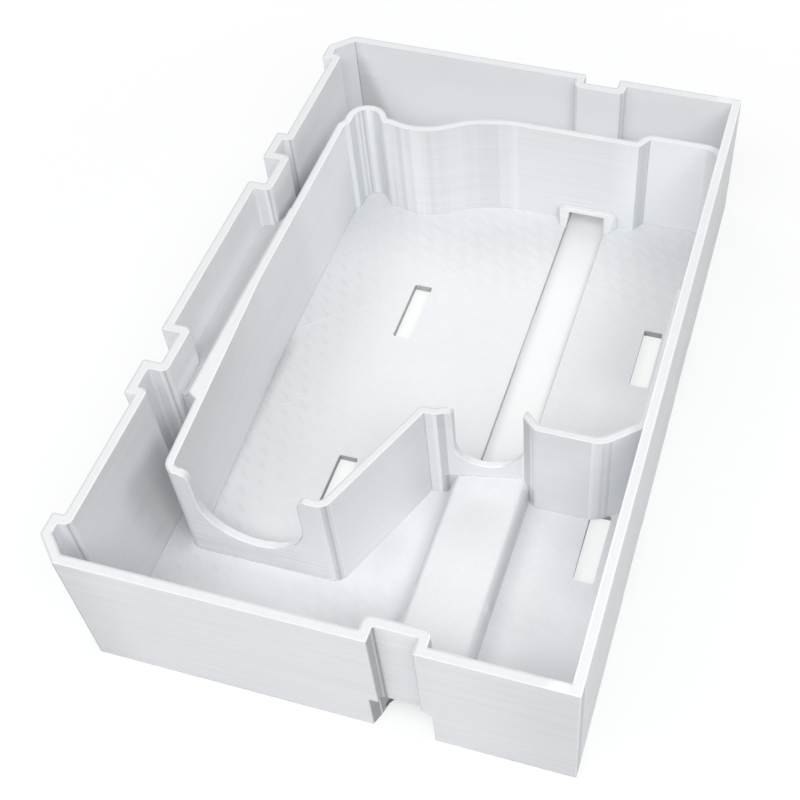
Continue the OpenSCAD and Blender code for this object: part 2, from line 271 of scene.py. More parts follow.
def stroke_marks(s):
    across = s.x + s.y
    strokes = (across + s.noise(STROKE_DRIFT) * (STROKE * STROKE_WAVER)).sine(STROKE * DIAGONAL)
    weave = (across + s.noise(WEAVE_DRIFT) * WEAVE * WEAVE_WAVER).sine(WEAVE * DIAGONAL)
    weave = weave * s.noise(WEAVE_PATCHES).rises(*WEAVE_SHOWS)
    faint = s.z.falls(*LOW_Z) * (FAINTER + FAINTER_STILL * s.y.rises(*BACKWARD_Y))
    return {"strokes": strokes, "runs": hatch(s, *RUNS), "crossing": hatch(s, *CROSSING),
            "weave": weave * (1.0 - faint)}


print("strokes", STROKE, "metres wide")

# %% [markdown]
# ## The lattice inside the floor
#
# The floor is hollow inside, and its lattice shows through the skin as dark spots on the left
# and as paler cells at the back and the front. Three waves in the directions of a cell's sides
# add up to such a pattern. Its cell was measured on the photograph, and slow noise gives the
# patches ragged borders.

# %% Marks of the floor's lattice
CELL_A = (0.0027, -0.0082)  # metres, two sides of one cell of the lattice inside the floor
CELL_B = (0.0090, -0.0025)
CELL_START = (-0.0638, -0.0070)     # metres, a dark spot of the lattice
PATCHES = 22.0              # per metre, noise that makes the borders ragged
LEFT_X, BACK_Y, FRONT_Y = (-0.064, -0.046), (0.062, 0.078), (-0.105, -0.085)    # metres
RAGGED, RAGGED_FRONT = 0.03, 0.02           # metres
SPOT_TONE, BACK_TONE, FRONT_TONE = -0.045, 0.030, 0.022
SPOTS, CELLS = (0.4, 3.0), (-1.5, 1.5)      # heights of the summed waves, which span -1.5 to 3


def lattice_marks(s):
    px, py = s.x - CELL_START[0], s.y - CELL_START[1]
    turns = 2 * math.pi / (CELL_A[0] * CELL_B[1] - CELL_A[1] * CELL_B[0])
    u = (px * CELL_B[1] - py * CELL_B[0]) * turns
    v = (py * CELL_A[0] - px * CELL_A[1]) * turns
    waves = u.math("COSINE", u) + v.math("COSINE", v) + u.math("COSINE", u - v)
    cells = waves.rises(*CELLS) - 0.5
    patches = s.noise(PATCHES)
    left = (s.x + patches * RAGGED).falls(*LEFT_X)
    back = (s.y + patches * RAGGED).rises(*BACK_Y)
    front = (s.y + patches * RAGGED_FRONT).falls(*FRONT_Y)
    return (waves.rises(*SPOTS) * left * SPOT_TONE + back * cells * BACK_TONE
            + front * cells * FRONT_TONE)


print("lattice cell, metres", round(math.hypot(*CELL_A), 4), "by", round(math.hypot(*CELL_B), 4))

# %% [markdown]
# ## Layers on the walls
#
# A wall is a pile of thin layers. Noise that is squashed flat gives level streaks, fine and
# coarse, and a sine wave along the wall gives the upright ripples. Thin slabs of mesh would
# give the same look at a far greater cost. The streaks are stronger near the floor, on the
# outer walls and low on the pocket's front wall.

# %% Marks on the walls
STREAKS = (1500.0, 2.0, (0.012, 0.012, 1.0))        # noise per metre, detail, stretch
BANDS = (260.0, 2.0, (0.02, 0.02, 1.0))
CLOUDS = (14.0, 3.0, (1.0, 1.0, 1.6))
GRAIN = 2400.0              # per metre, noise of the plastic itself
RIPPLE = 0.0009             # metres, between two ripples
RIPPLE_WAVER, RIPPLE_DRIFT = 0.002, 9.0     # metres, and per metre
RIPPLE_PATCHES, RIPPLE_SHOWS = (30.0, 1.0), (-0.05, 0.2)    # noise, and where it lets them show
POCKET_FRONT = (-0.1055, 0.004)     # metres, middle and half thickness of that wall
# where the streaks are stronger: what it is, kind of face, by how much, fades in metres
ROUGHER = (
    ("foot of a wall", "any", 0.8, {"z to": (0.004, 0.022)}),
    ("outer walls", "outside", 0.5, {}),
    ("pocket's front wall", "inside", 3.5, {"y near": POCKET_FRONT, "z to": (0.020, 0.034)}))


def layer_marks(s):
    along = s.x * s.ny.size() + s.y * s.nx.size()
    ripple = (along + s.noise(RIPPLE_DRIFT) * RIPPLE_WAVER).sine(RIPPLE)
    return {"streaks": s.noise(*STREAKS), "bands": s.noise(*BANDS), "clouds": s.noise(*CLOUDS),
            "ripple": ripple * s.noise(*RIPPLE_PATCHES).rises(*RIPPLE_SHOWS)}


print("rougher places", [row[0] for row in ROUGHER])

# %% [markdown]
# ## Painted sheen by the way a wall faces
#
# Ridged layers shine toward the lamps only where a wall faces them, so a bend runs through pale
# and dark stripes, one for each flat facet that the head drew. A shader can't see its lamps, but
# it knows which way a face looks. So this sheen is painted into the tone, laid out over that
# direction: 0 looks to the front, 90 to the right. Small roundings get a painted glint with a
# wave of their own, and are marked on the mesh when it is softened further below.

# %% Painted sheen stripes on the bends
# painted sheen, how much paler a wall looks by the way it faces: direction, half width (degrees),
# amount
SHEEN = ((3, 13, 0.08), (39, 24, 0.08), (46, 8, 0.25), (58, 6, -0.12), (68, 7, 0.19),
         (-18, 7, 0.13), (-7, 6, 0.06), (-45, 9, -0.21), (8, 4, 0.06))
# painted sheen on single bends: what it is, kind of face, amount, fades in degrees and metres
BEND_SHEEN = (
    ("nose of the cusp", "any", -0.28,
     {"degrees near": (24, 7), "x from": (0.0, 0.005), "x to": (0.025, 0.030)}),
    ("right bend, pale", "any", 0.16,
     {"degrees near": (16, 9), "x from": (0.060, 0.070), "y to": (0.0, 0.01)}),
    ("right bend, dark", "any", -0.09,
     {"degrees near": (43, 8), "x from": (0.060, 0.070), "y to": (0.0, 0.01)}))
FACET_SHEEN = 0.025               # painted sheen, its change of tone from one flat facet of a bend to the next
FACET_WAVES = (36.0, 72.0)  # waves in a full turn, for the facets of wide and tight bends
GLINT = 0.26                # painted glint, its change of tone across a small rounding
GLINT_WAVES = 6.0           # waves in a full turn
GLINT_AT = math.radians(70)         # direction of the palest glint
FACET_END, GLINT_END = (1.36, 1.42), (1.30, 1.42)   # radians, where facets and glints end
GLINT_LEFT, GLINT_TURN = 0.3, (-0.1, 0.1)           # share left of the front, turn in radians
SHEEN_BASE = -0.03                # painted shade on all walls, the base of the painted sheen


def painted_sheen(s):
    toward = s.toward
    facets = sum(toward.math("SINE", toward * waves) for waves in FACET_WAVES)
    facets = facets * FACET_SHEEN * toward.falls(*FACET_END)
    glints = toward.math("COSINE", (toward - GLINT_AT) * GLINT_WAVES)
    glints = glints * (GLINT_LEFT + toward.rises(*GLINT_TURN) * (1.0 - GLINT_LEFT)
                       - toward.rises(*GLINT_END))
    stripes = sum(s.axes["degrees"].near(middle, half) * amount for middle, half, amount in SHEEN)
    # painted sheen: facets, glints on small roundings, stripes by direction and on single bends
    return (facets + SHEEN_BASE + glints * s.attribute("small_bend") * GLINT + stripes
            + s.places(BEND_SHEEN))


print("stripes by direction", len(SHEEN), "and on single bends", len(BEND_SHEEN))

# %% [markdown]
# ## Painted light and shade by place
#
# Some places are painted paler or darker as a whole: painted light and shade where the tray's own
# walls light or shade them, and painted shade on the squeezed first layer at the outer walls' foot.
# Lamps alone can't bring this out without burning the pale plastic to white. So a table names each
# place, the kind of face, the change of tone and the stretch of it, and the shader adds one soft
# mask for each row. The amounts come from holding renders against the photograph. The walls and
# rims come first.

# %% Painted light and shade on the walls and rims
SAME_PLACE = 1e-5           # metres
outer_face = [v.co.x for v in bpy.data.objects["organizer_tray"].data.vertices
              if v.co.y < tray_low.y + SAME_PLACE]
FRONT_START = min(outer_face)       # metres, left end of the front wall's outer face
LEFT_WALL = {"x to": (-0.080, -0.076)}
OUTER_FRONT = {"y to": (-0.1515, -0.1505)}
NOTCH_SIDE = {"y to": (-0.139, -0.136), "x near": (0.0235, 0.0075)}
BACK_WALL = {"y from": (0.146, 0.149)}
SHELF = {"x to": (-0.074, -0.070), "z near": (0.048, 0.008), "y from": (-0.042, -0.026)}
# painted light and shade: what it is, kind of face, change of tone, fades (start and end, or middle
# and half) in metres
WALL_LIGHT_AND_SHADE = (
    ("back of the pocket", "front", 0.18, {"y from": (0.128, 0.140)}),
    ("the same, right of the strip", "front", 0.108,
     {"x from": (0.045, 0.060), "y from": (0.112, 0.121), "y to": (0.128, 0.140)}),
    ("left wall", "right", 0.04, LEFT_WALL),
    ("the same, high up", "right", 0.08, {**LEFT_WALL, "z from": (0.020, 0.055)}),
    ("the same, at the back", "right", 0.08, {**LEFT_WALL, "y from": (0.035, 0.055)}),
    ("the same, beside the narrow gap", "right", -0.19,
     {**LEFT_WALL, "y from": (-0.116, -0.102), "y to": (-0.084, -0.078), "z to": (0.040, 0.052)}),
    ("shelf", "slope", -0.22, SHELF),
    # painted shade in the back left corner
    ("back wall, low on the left", "square_front", -0.10,
     {**BACK_WALL, "x to": (-0.085, -0.040), "z to": (0.030, 0.066)}),
    ("the same, beside the corner", "square_front", -0.30,
     {**BACK_WALL, "slant to": (-0.0738, -0.0648)}),
    ("strip's shoulders", "shoulder", -0.18,
     {"off_strip from": (0.010, 0.013), "off_strip to": (0.0185, 0.0195),
      "z from": (0.004, 0.006), "z to": (0.0155, 0.016),
      "y from": (-0.125, -0.098), "y to": (-0.049, -0.045)}),
    ("strip's front end", "inner_level", 0.10,
     {"z near": (0.0155, 0.0006), "y to": (-0.125, -0.100), "off_strip to": (0.016, 0.018)}),
    ("outer front", "wall", -0.09, OUTER_FRONT),
    ("the same, left end", "wall", -0.11, {**OUTER_FRONT, "x to": (-0.092, -0.066)}),
    ("the same, right end", "wall", -0.105, {**OUTER_FRONT, "x from": (0.055, 0.100)}),
    ("the same, its left edge", "wall", -0.25,
     {**OUTER_FRONT, "x to": (FRONT_START + 0.0004, FRONT_START + 0.0008)}),
    # painted shade on the notch's left side, and a painted highlight along it
    ("left side of the notch", "right_wall", -0.50, NOTCH_SIDE),
    ("pale line on it", "right_wall", 0.55, {**NOTCH_SIDE, "y near": (-0.1522, 0.0007)}),
    ("inner corner of the notch", "askew_front", -0.35,
     {"x near": (0.0272, 0.0009), "y to": (-0.1500, -0.1490)}),
    # painted shade on the sides of the floor's slots and on the squeezed first layer
    ("sides of the floor's slots", "inner_wall", -0.42, {"z to": (0.0034, 0.0039)}),
    ("squeezed first layer", "outer_wall", -0.22, {"z to": (0.0004, 0.0008)}),
    ("right end of the pocket's front", "inner_wall", 0.10,
     {"y near": POCKET_FRONT, "x from": (-0.030, -0.018)}),
    ("middle of the diagonal", "wall", -0.13,
     {"degrees near": (67, 6), "x from": (0.003, 0.012), "x to": (0.030, 0.040),
      "y to": (-0.045, -0.040)}),
    ("rims at the back", "rim", 0.045, {"y from": (0.080, 0.110)}),
    ("rims on the right", "rim", 0.05, {"x from": (0.090, 0.096)}),
    ("pocket's right rim", "rim", 0.12, {"x from": (0.088, 0.093), "x to": (0.096, 0.0975)}))
print("places on walls and rims", len(WALL_LIGHT_AND_SHADE))

# %% [markdown]
# ## Painted light and shade on the floor
#
# The floor could be left to the lamps, but in the photograph it is palest in front and on the
# right, and darkest in the narrow gap beside the left wall. A second table paints this light and
# shade into the floor's tone.

# %% Painted light and shade on the floor
# painted light and shade: what it is, kind of face, change of tone, fades in metres
FLOOR_LIGHT_AND_SHADE = (
    ("floor in front", "floor", 0.06, {"y to": (-0.075, -0.045)}),
    ("floor of the left front bay", "floor", 0.10,
     {"x near": (-0.038, 0.030), "y to": (-0.108, -0.100)}),
    ("floor of the right front bay", "floor", 0.08,
     {"x from": (0.066, 0.085), "y to": (-0.098, -0.080)}),
    ("floor right of the strip", "floor", 0.14,
     {"x from": (0.050, 0.054), "y to": (-0.120, -0.100)}),
    ("floor in the pocket's right", "floor", 0.08,
     {"x from": (0.055, 0.070), "y from": (-0.035, -0.030), "y to": (0.015, 0.035)}),
    ("floor left of the strip", "floor", -0.12,
     {"x near": (0.002, 0.016), "y near": (-0.084, 0.022)}),
    ("floor of the narrow gap", "inner_floor", -0.36,
     {"x to": (-0.080, -0.072), "y from": (-0.114, -0.092), "y to": (0.0, 0.02)}))
print("places on the floor", len(FLOOR_LIGHT_AND_SHADE), "from", min(row[2] for row in FLOOR_LIGHT_AND_SHADE),
      "to", max(row[2] for row in FLOOR_LIGHT_AND_SHADE))

# %% [markdown]
# ## One material from the marks and the painted light and shade
#
# The marks are added up into one grey tone that multiplies the plastic's colour, and into one
# height for the bump. The tone also carries the painted sheen, the painted highlights and shade
# on the edges, and the painted light and shade of the two tables. Plastic can't give back more
# light than falls on it, so the tone has a ceiling. The front wall holds a touch less green, as
# in the photograph.

# %% The plastic
WALL_TONES = {"streaks": 0.11, "bands": 0.06}       # these grow on the rougher places
STEADY_TONES = {"clouds": 0.05, "ripple": 0.015}
LEVEL_TONES = {"strokes": 0.02, "runs": 0.07, "crossing": 0.06, "weave": 0.05}
WALL_HEIGHTS = {"streaks": 1.6, "ripple": 0.5, "bands": 1.0}
LEVEL_HEIGHTS = {"strokes": 0.7, "runs": 1.5}
GRAIN_TONE, GRAIN_ROUGH, GRAIN_HEIGHT = 0.03, 0.08, 0.4
RIM_FAINTER, SHELF_FAINTER = 0.45, 0.6      # share of the strokes' tone that is missing there
FOOT_LINE, FOOT_HALF = 0.0012, 0.0003       # metres, top of the squeezed first layers
FOOT_TONE = -0.08
TONE_CEILING = 1.16
LESS_GREEN, FRONT_WALL_Y = 0.015, (-0.1505, -0.1495)        # share, and where (metres)
ROUGHNESS, STREAK_ROUGH = 0.46, 0.15
REFRACTION = 1.46
BUMP = {"Strength": 0.3, "Distance": 0.00008}


def printed_plastic():
    material = bpy.data.materials.new("printed_plastic")
    start = first_wire(material)
    s = Surface(start)
    level, wall = s.kinds["level"], s.kinds["wall"]
    strokes, layers, grain = stroke_marks(s), layer_marks(s), s.noise(GRAIN)

    lined = level * (1.0 - s.kinds["rim"] * RIM_FAINTER
                     - s.mask("slope", SHELF) * SHELF_FAINTER)
    rougher = 1.0 + s.places(ROUGHER)
    # the tone holds the marks, the painted sheen, the painted edge highlights and shade, and the
    # tables' painted light and shade
    tone = (1.0 + wall * (weighed(layers, WALL_TONES) * rougher + weighed(layers, STEADY_TONES)
                          + painted_sheen(s))
            + lined * weighed(strokes, LEVEL_TONES) + s.kinds["floor"] * lattice_marks(s)
            + s.attribute("edge_painted_light") + s.places(WALL_LIGHT_AND_SHADE + FLOOR_LIGHT_AND_SHADE)
            + s.z.near(FOOT_LINE, FOOT_HALF) * wall * FOOT_TONE + grain * GRAIN_TONE)
    tone = tone.math("MINIMUM", tone, TONE_CEILING)
    green = tone * (1.0 - s.y.falls(*FRONT_WALL_Y) * wall * LESS_GREEN)
    grey = start.node("ShaderNodeCombineColor", inputs={0: tone, 1: green, 2: tone})
    colour = start.node("ShaderNodeMix", {"data_type": "RGBA", "blend_type": "MULTIPLY"},
                        {"Factor": 1.0, 6: (*PLASTIC, 1.0), 7: grey}, output=2)
    rough = ROUGHNESS + wall * layers["streaks"] * STREAK_ROUGH + grain * GRAIN_ROUGH
    height = (wall * weighed(layers, WALL_HEIGHTS) + level * weighed(strokes, LEVEL_HEIGHTS)
              + grain * GRAIN_HEIGHT)
    bump = start.node("ShaderNodeBump", inputs={"Height": height, **BUMP})
    shader = start.node("ShaderNodeBsdfPrincipled", inputs={
        "Base Color": colour, "Roughness": rough, "Normal": bump, "IOR": REFRACTION})
    start.node("ShaderNodeOutputMaterial", inputs={"Surface": shader})
    return material


plastic = printed_plastic()
print("nodes in the plastic", len(plastic.node_tree.nodes))

# %% [markdown]
# ## The tray itself
#
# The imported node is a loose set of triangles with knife-sharp edges. A real print has edges
# about as round as one printed stroke, and it is those that catch the light. A Bevel modifier
# would treat all edges alike, but here outward edges, inward edges and the narrow faces between
# them need different care. So a copy of the mesh is joined up, its flat faces are merged, and
# the bevels are made one kind after the other. The walls' bends stay in flat facets, as the
# print head drew them.

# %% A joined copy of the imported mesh
MERGE = 1e-6                # metres, corners closer than this are one
FLAT_ANGLE = math.radians(0.5)      # faces that bend less than this are merged
UPRIGHT = 0.9               # share of an edge's length that is height, for an upright one
UPRIGHT_FACE, LEVEL_FACE = 0.1, 0.9         # upward part of such a face's normal


def joined_copy():
    mesh = bpy.data.objects["organizer_tray"].data.copy()
    mesh.name = "tray_printed"
    work = bmesh.new()
    work.from_mesh(mesh)
    bmesh.ops.remove_doubles(work, verts=work.verts, dist=MERGE)
    bmesh.ops.dissolve_limit(work, angle_limit=FLAT_ANGLE, verts=work.verts,
                             edges=work.edges, delimit={"NORMAL"})
    return mesh, work


def is_upright(edge):
    a, b = edge.verts
    return abs(a.co.z - b.co.z) > UPRIGHT * edge.calc_length()


# %% [markdown]
# ## Rims and edges
#
# On each rim the outermost stroke stands a hair above the strokes between, so the top faces are
# inset by one stroke. Then a narrow bevel rounds what is sharp. In the photograph the rounded
# edges show as bright lines toward the lamps and as dark lines away from them, too thin for the
# light alone to draw. Each narrow face therefore carries a painted highlight or painted shade in
# a layer of the mesh, which the plastic reads as an attribute. Inward edges and the lips of the
# floor's openings get painted shade.

# %% Raised strokes, bevels and their painted highlights and shade
EDGE_ROUND = 0.0004         # metres, what an outward bevel takes from each side
INNER_ROUND = 0.0003        # metres, the same for an inward one
SHARP_ANGLE = math.radians(40)      # edges that bend more than this are bevelled
NARROW_FACE = 0.0009        # metres, a face slimmer than this has no room for a bevel
SHORT_HIGH, SHORT_LOW = 1.3, 2.6    # shortest edge bevelled, in bevels, above and at the floor
HIGH_Z = 0.02               # metres, above here an edge counts as high
HIGHLIGHT_LINE, EDGE_SHADE_LINE, CREASE_SHADE_LINE = 0.14, -0.26, -0.20     # painted highlight, painted shade away from the lamps, and painted shade in inward edges, on narrow faces
LIP_SHADE_LINE = -0.32            # painted shade where an opening is cut in the floor
LIP_HALF, LIP_UP = 0.0009, 0.2      # metres from the floor's top, upward part of its normal
AWAY_LEFT, AWAY_BACK, AWAY_DOWN = 0.3, 0.5, 0.1     # parts of a normal that turns from the lamps
RING_SHARE = 0.6            # share of that painted highlight or shade on the outermost stroke of a rim
RIM_STROKE = 0.0007         # metres, width of the outermost stroke on a rim
RIM_DROP = 0.00006          # metres, drop to the strokes between
RIM_HEIGHTS = (0.0682, 0.0580)
RIM_TOP, RIM_SIDE = 0.99, 0.5       # upward part of a normal, at least and at most
SAME_HEIGHT = 1e-4          # metres
RIGHT_RIM = 0.09            # metres, right of here both sides of a rim get the painted highlight


def edge_highlight_or_shade(direction, place):
    """Painted highlight or painted shade of a narrow face that looks in this direction."""
    if abs(place.z - FLOOR_TOP) < LIP_HALF and direction.z > LIP_UP:
        return LIP_SHADE_LINE
    away = ((direction.x < -AWAY_LEFT and place.x < RIGHT_RIM) or direction.y > AWAY_BACK
            or direction.z < -AWAY_DOWN)
    return EDGE_SHADE_LINE if away else HIGHLIGHT_LINE


def ringed_rims(work, layer):
    """Inset the rims, so that the outermost stroke stands above the strokes between."""
    for height in RIM_HEIGHTS:
        top = [f for f in work.faces if f.normal.z > RIM_TOP
               and abs(f.calc_center_median().z - height) < SAME_HEIGHT]
        made = bmesh.ops.inset_region(work, faces=top, thickness=RIM_STROKE, depth=-RIM_DROP,
                                      use_even_offset=True, use_boundary=True)
        for ring in made["faces"]:
            for other in [f for e in ring.edges for f in e.link_faces if f != ring]:
                if abs(other.normal.z) < RIM_SIDE:
                    ring[layer] = edge_highlight_or_shade(other.normal, ring.calc_center_median()) * RING_SHARE


def rounded(work, layer, mark, sign, segments, offset):
    """Bevel the outward (sign 1) or inward (sign -1) edges, and mark the new faces."""
    def wide(face):
        return face.calc_area() / max(e.calc_length() for e in face.edges) > NARROW_FACE

    edges = []
    for edge in work.edges:
        if len(edge.link_faces) != 2 or any(f[mark] or not wide(f) for f in edge.link_faces):
            continue
        shortest = SHORT_HIGH if min(v.co.z for v in edge.verts) > HIGH_Z else SHORT_LOW
        if (sign * edge.calc_face_angle_signed() > SHARP_ANGLE
                and edge.calc_length() > shortest * offset):
            edges.append(edge)
    made = bmesh.ops.bevel(work, geom=edges, offset=offset, offset_type="OFFSET",
                           segments=segments, profile=0.5, affect="EDGES",
                           clamp_overlap=False, loop_slide=True, material=-1)
    for face in made["faces"]:
        place = face.calc_center_median()
        # outward bevels get a painted highlight or painted shade by their facing, inward ones
        # painted shade
        face[layer] = edge_highlight_or_shade(face.normal, place) if sign > 0 else CREASE_SHADE_LINE
        face[mark] = 1
    print("outward" if sign > 0 else "inward", "edges bevelled", len(edges))


print("bevels, metres", EDGE_ROUND, "outward and", INNER_ROUND, "inward")

# %% [markdown]
# ## The softened tray
#
# Smooth shading over the whole mesh would blur the facets of the bends, and flat shading would
# show every step of the bevels. So only soft edges between small faces are smooth. Facets of
# small roundings are marked too, so that the plastic paints a glint on them. The finished copy
# takes the place of the imported node, and rides on its body.

# %% A softened copy of the tray
SMALL_FACET = 0.0013        # metres, widest facet that counts as part of a small rounding
SMALL_AREA = 2e-5           # square metres, larger faces stay flat
SOFT_ANGLE = math.radians(25)


def softened_tray():
    mesh, work = joined_copy()
    for name in ("edge_painted_light", "small_bend"):
        work.faces.layers.float.new(name)
    work.faces.layers.int.new("bevelled")
    layer = work.faces.layers.float["edge_painted_light"]
    bend = work.faces.layers.float["small_bend"]
    mark = work.faces.layers.int["bevelled"]
    ringed_rims(work, layer)
    rounded(work, layer, mark, 1, 2, EDGE_ROUND)
    rounded(work, layer, mark, -1, 1, INNER_ROUND)
    for face in work.faces:
        if abs(face.normal.z) < UPRIGHT_FACE and face[layer] == 0.0:
            spots = [v.co.xy for v in face.verts]
            width = max((p - spots[0]).length for p in spots)
            face[bend] = 1.0 if width < SMALL_FACET else 0.0
    for edge in work.edges:
        if len(edge.link_faces) == 2:
            small = all(f.calc_area() < SMALL_AREA and f[layer] == 0.0 for f in edge.link_faces)
            edge.smooth = (small and edge.calc_face_angle(0.0) < SOFT_ANGLE
                           and not is_upright(edge))
    work.to_mesh(mesh)
    work.free()
    tray = bpy.data.objects.new("tray_printed", mesh)
    bpy.context.collection.objects.link(tray)
    for face in mesh.polygons:
        face.use_smooth = True
    mesh.materials.clear()
    mesh.materials.append(plastic)
    return tray


tray = softened_tray()
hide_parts("organizer_tray")
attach(tray, "root")
print("tray faces", len(tray.data.polygons), "surface, square metres",
      round(sum(f.area for f in tray.data.polygons), 4))

# %% [markdown]
# ## Marks that follow the shape
#
# Where the floor's strokes turn back at the foot of a wall, each turn leaves a small bead.
# Where a layer starts and ends, in an inner corner, it leaves a blob. They could be strewn by
# hand or as particles, but both follow edges of the tray. So the script reads those edges from
# the joined mesh and hands them to Geometry Nodes, which strew the beads along them.

# %% Edges that carry beads
FOOT_HEIGHTS = (0.004, 0.0155)      # metres, floor and top of the raised strip
END_GAP = 0.0008            # metres, the seams stop this far from the rim and the underside
SHORTEST_SEAM = 4 * END_GAP
SEAM_ANGLE = math.radians(30)       # an inner corner bends at least so much


def carried_edges():
    mesh, work = joined_copy()
    feet, corners = [], []
    for edge in work.edges:
        if len(edge.link_faces) != 2 or edge.calc_face_angle_signed() >= 0:
            continue
        a, b = [v.co.copy() for v in edge.verts]
        ups = sorted(abs(f.normal.z) for f in edge.link_faces)
        flat = abs(a.z - b.z) < SAME_PLACE and any(abs(a.z - h) < SAME_HEIGHT for h in FOOT_HEIGHTS)
        if flat and ups[0] < UPRIGHT_FACE and ups[1] > LEVEL_FACE:
            feet.append((a, b))
        tall = is_upright(edge) and (b - a).length > SHORTEST_SEAM
        if tall and edge.calc_face_angle() > SEAM_ANGLE and ups[1] < UPRIGHT_FACE:
            gap = (b - a).normalized() * END_GAP
            corners.append((a + gap, b - gap))
    work.free()
    bpy.data.meshes.remove(mesh)
    return feet, corners


def edge_mesh(name, pairs):
    points, lines = [], []
    for a, b in pairs:
        lines.append((len(points), len(points) + 1))
        points += [tuple(a), tuple(b)]
    work = bmesh.new()
    mesh = bpy.data.meshes.new(name)
    mesh.from_pydata(points, lines, [])
    work.from_mesh(mesh)
    bmesh.ops.remove_doubles(work, verts=work.verts, dist=MERGE)
    work.to_mesh(mesh)
    work.free()
    return mesh


feet, corners = carried_edges()
print("foot edges", len(feet), "corner edges", len(corners))

# %% [markdown]
# ## Geometry Nodes from Python
#
# Both kinds of mark need a tree with named sizes, and each tree ends in the same way: real
# faces in place of instances, smooth shading and the plastic. Two helpers hold what the trees
# share, and a third applies a tree to a path and gives a plain mesh, because only that can be
# exported and can ride on the tray's body.

# %% Helpers for node trees
def empty_tree(name, numbers):
    """A Geometry Nodes tree with these number inputs, and a short way to add its nodes."""
    tree = bpy.data.node_groups.new(name, "GeometryNodeTree")
    face = tree.interface
    face.new_socket("Geometry", in_out="INPUT", socket_type="NodeSocketGeometry")
    for label in numbers:
        face.new_socket(label, in_out="INPUT", socket_type="NodeSocketFloat")
    face.new_socket("Material", in_out="INPUT", socket_type="NodeSocketMaterial")
    face.new_socket("Geometry", in_out="OUTPUT", socket_type="NodeSocketGeometry")

    def add(kind, settings=None, inputs=None):
        made = tree.nodes.new(kind)
        for key, value in (settings or {}).items():
            setattr(made, key, value)
        for key, value in (inputs or {}).items():
            if isinstance(value, bpy.types.NodeSocket):
                tree.links.new(value, made.inputs[key])
            else:
                made.inputs[key].default_value = value
        return made.outputs

    return tree, add


def finish_tree(add, geometry, material):
    real = add("GeometryNodeRealizeInstances", inputs={"Geometry": geometry})
    smooth = add("GeometryNodeSetShadeSmooth", inputs={"Geometry": real["Geometry"]})
    dressed = add("GeometryNodeSetMaterial", inputs={"Geometry": smooth["Geometry"],
                                                     "Material": material})
    add("NodeGroupOutput", inputs={"Geometry": dressed["Geometry"]})


def grown(name, mesh, tree, values):
    """The mesh with the node tree applied, as a piece of its own."""
    seed = bpy.data.objects.new(name + "_path", mesh)
    bpy.context.collection.objects.link(seed)
    nodes = seed.modifiers.new("nodes", "NODES")
    nodes.node_group = tree
    for item in tree.interface.items_tree:
        if item.in_out == "INPUT" and item.name in values:
            nodes[item.identifier] = values[item.name]
    bpy.context.view_layer.update()
    shape = seed.evaluated_get(bpy.context.evaluated_depsgraph_get())
    made = bpy.data.meshes.new_from_object(shape)
    made.name = name
    bpy.data.objects.remove(seed)
    piece = bpy.data.objects.new(name, made)
    bpy.context.collection.objects.link(piece)
    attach(piece, "root")
    print(name, len(made.polygons), "faces")
    return piece


print("paths to dress", len(feet) + len(corners))

# %% [markdown]
# ## Beads and blobs
#
# The beads on the real tray are uneven in size and place. One tree sets points along the edges,
# shakes them, and puts a small flattened ball of random size on each, with fixed seeds so that
# the tray comes out the same each time. Wider and flatter balls make the feet's beads, and
# smaller and taller ones the seams' blobs.

# %% Beads along the feet, blobs along the seams
PLACE_SEED, SIZE_SEED = 5, 11
SMALLEST_BALL = 0.45        # share of the largest one's radius
FOOT_BEADS = {"Spacing": 0.0013, "Radius": 0.00046, "Flatness": 0.6, "Scatter": 0.00016}
SEAM_BLOBS = {"Spacing": 0.0017, "Radius": 0.00028, "Flatness": 1.1, "Scatter": 0.00016}


def bead_tree():
    tree, add = empty_tree("beads_along_edges", tuple(FOOT_BEADS))
    given = add("NodeGroupInput")
    curve = add("GeometryNodeMeshToCurve", inputs={"Mesh": given["Geometry"]})
    points = add("GeometryNodeCurveToPoints", {"mode": "LENGTH"},
                 {"Curve": curve["Curve"], "Length": given["Spacing"]})
    low, high = [add("ShaderNodeVectorMath", {"operation": "SCALE"},
                     {0: (side, side, side), "Scale": given["Scatter"]}) for side in (-1.0, 1.0)]
    shake = add("FunctionNodeRandomValue", {"data_type": "FLOAT_VECTOR"},
                {0: low["Vector"], 1: high["Vector"], "Seed": PLACE_SEED})
    moved = add("GeometryNodeSetPosition", inputs={"Geometry": points["Points"],
                                                   "Offset": shake[0]})
    ball = add("GeometryNodeMeshIcoSphere", inputs={"Radius": 1.0, "Subdivisions": 1})
    size = add("FunctionNodeRandomValue", {"data_type": "FLOAT"},
               {2: SMALLEST_BALL, 3: 1.0, "Seed": SIZE_SEED})
    wide = add("ShaderNodeMath", {"operation": "MULTIPLY"}, {0: size[1], 1: given["Radius"]})
    thin = add("ShaderNodeMath", {"operation": "MULTIPLY"}, {0: wide[0], 1: given["Flatness"]})
    scale = add("ShaderNodeCombineXYZ", inputs={0: wide[0], 1: wide[0], 2: thin[0]})
    strewn = add("GeometryNodeInstanceOnPoints", inputs={
        "Points": moved["Geometry"], "Instance": ball["Mesh"], "Scale": scale[0]})
    finish_tree(add, strewn["Instances"], given["Material"])
    return tree


beads = bead_tree()
grown("foot_beads", edge_mesh("foot_path", feet), beads, {**FOOT_BEADS, "Material": plastic})
grown("seam_blobs", edge_mesh("seam_path", corners), beads, {**SEAM_BLOBS, "Material": plastic})

# %% [markdown]
# ## Strings on the pocket's floor
#
# The nozzle pulled four thin strings across the floor on its way. They could be drawn as
# curves by hand, but a string also wavers. So each is a few chosen points, and a tree resamples
# the line, pushes it about with slow noise and gives it a round section.

